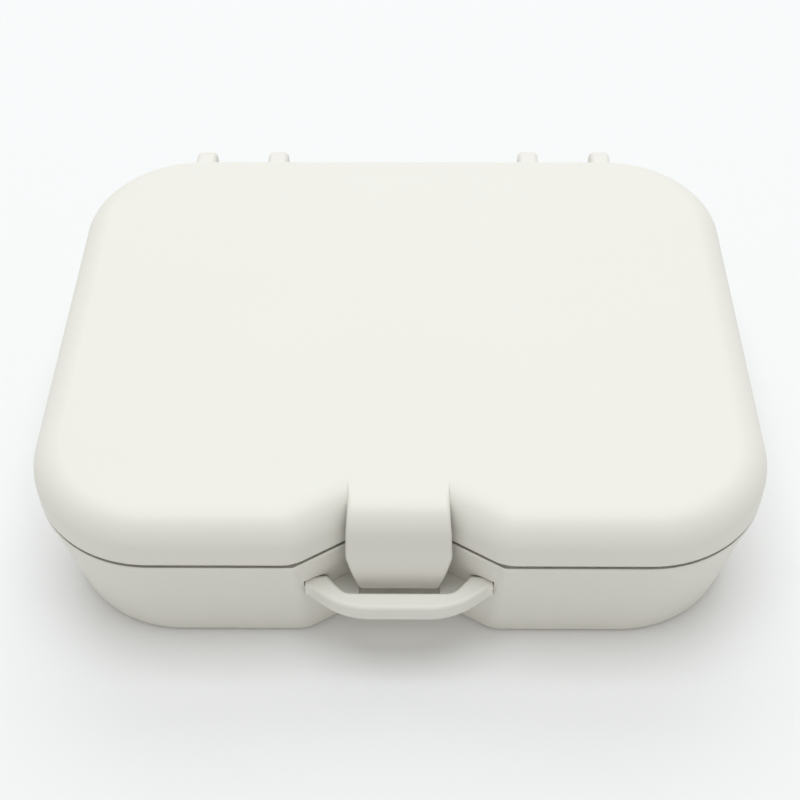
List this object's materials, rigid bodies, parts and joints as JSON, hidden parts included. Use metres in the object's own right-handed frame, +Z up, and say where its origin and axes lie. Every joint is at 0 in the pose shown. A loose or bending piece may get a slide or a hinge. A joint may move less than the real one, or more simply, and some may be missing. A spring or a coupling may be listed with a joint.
{
  "type": "denture case",
  "caption": "Hinged pocket case for dentures, with a snap tab, a carry handle, a mirror in the lid, a brush bay and a lift-out drain tray.",
  "frame": {"origin": "middle of the flat underside of the base, on the case's plane of symmetry", "axes": "+X to the right along the length, +Y to the hinged back, +Z up"},
  "size_m": [0.12, 0.1051, 0.0304],
  "materials": {
    "shell_plastic": "satin moulded plastic, warm off-white",
    "tray_plastic": "satin moulded plastic, a little lighter than the shells",
    "pin_steel": "drawn steel wire",
    "foam_pad": "white adhesive foam",
    "mirror_silver": "silvered glass"
  },
  "bodies": {
    "base": {"base_shell": "shell_plastic", "drain_tray": "tray_plastic", "hinge_pin_left": "pin_steel", "hinge_pin_right": "pin_steel"},
    "lid": {"lid_shell": "shell_plastic", "mirror_pad": "foam_pad", "mirror_glass": "mirror_silver", "mirror_bezel": "shell_plastic"},
    "latch": {"latch_tab": "shell_plastic"},
    "handle": {"carry_handle": "shell_plastic"}
  },
  "joints": [
    {"name": "lid_hinge", "type": "hinge", "parent": "base", "child": "lid", "pos_m": [0, 0.051, 0.021], "axis": [-1, 0, 0], "range_deg": [0, 118]},
    {"name": "latch_flex", "type": "hinge", "parent": "lid", "child": "latch", "pos_m": [0, -0.0386, 0.0296], "axis": [-1, 0, 0], "range_deg": [0, 6], "stiffness_Nm_per_rad": 0.65},
    {"name": "handle_swing", "type": "hinge", "parent": "base", "child": "handle", "pos_m": [0, -0.0457, 0.01375], "axis": [-1, 0, 0], "range_deg": [0, 22]}
  ]
}
